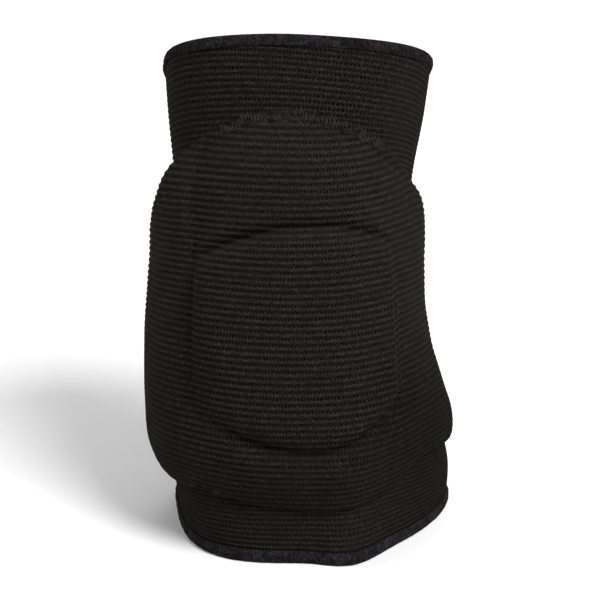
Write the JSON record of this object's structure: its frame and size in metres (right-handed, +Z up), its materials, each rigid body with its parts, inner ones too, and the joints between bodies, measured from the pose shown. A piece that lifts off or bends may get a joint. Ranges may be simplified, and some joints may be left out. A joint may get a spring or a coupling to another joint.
{
  "type": "elbow pad",
  "caption": "Bent ribbed-knit elbow sleeve, open at both ends, with sewn-on padding over the point of the elbow and round its sides.",
  "frame": {"origin": "middle of the bounding box, on the surface that the lower rim stands on", "axes": "+Z up the forearm towards the upper arm, -Y towards the padding on the point of the elbow, +X to the right as seen from the padding"},
  "size_m": [0.106, 0.1318, 0.1639],
  "materials": {
    "sleeve_knit": "matt black elastic rib knit",
    "pad_knit": "matt black rib knit over foam",
    "binding_tape": "matt black folded elastic tape"
  },
  "bodies": {
    "root": {"sleeve": "sleeve_knit", "bottom_binding": "binding_tape", "top_binding": "binding_tape", "upper_pad": "pad_knit", "centre_pad": "pad_knit", "lower_pad": "pad_knit", "left_wing_pad": "pad_knit", "right_wing_pad": "pad_knit"}
  },
  "joints": []
}
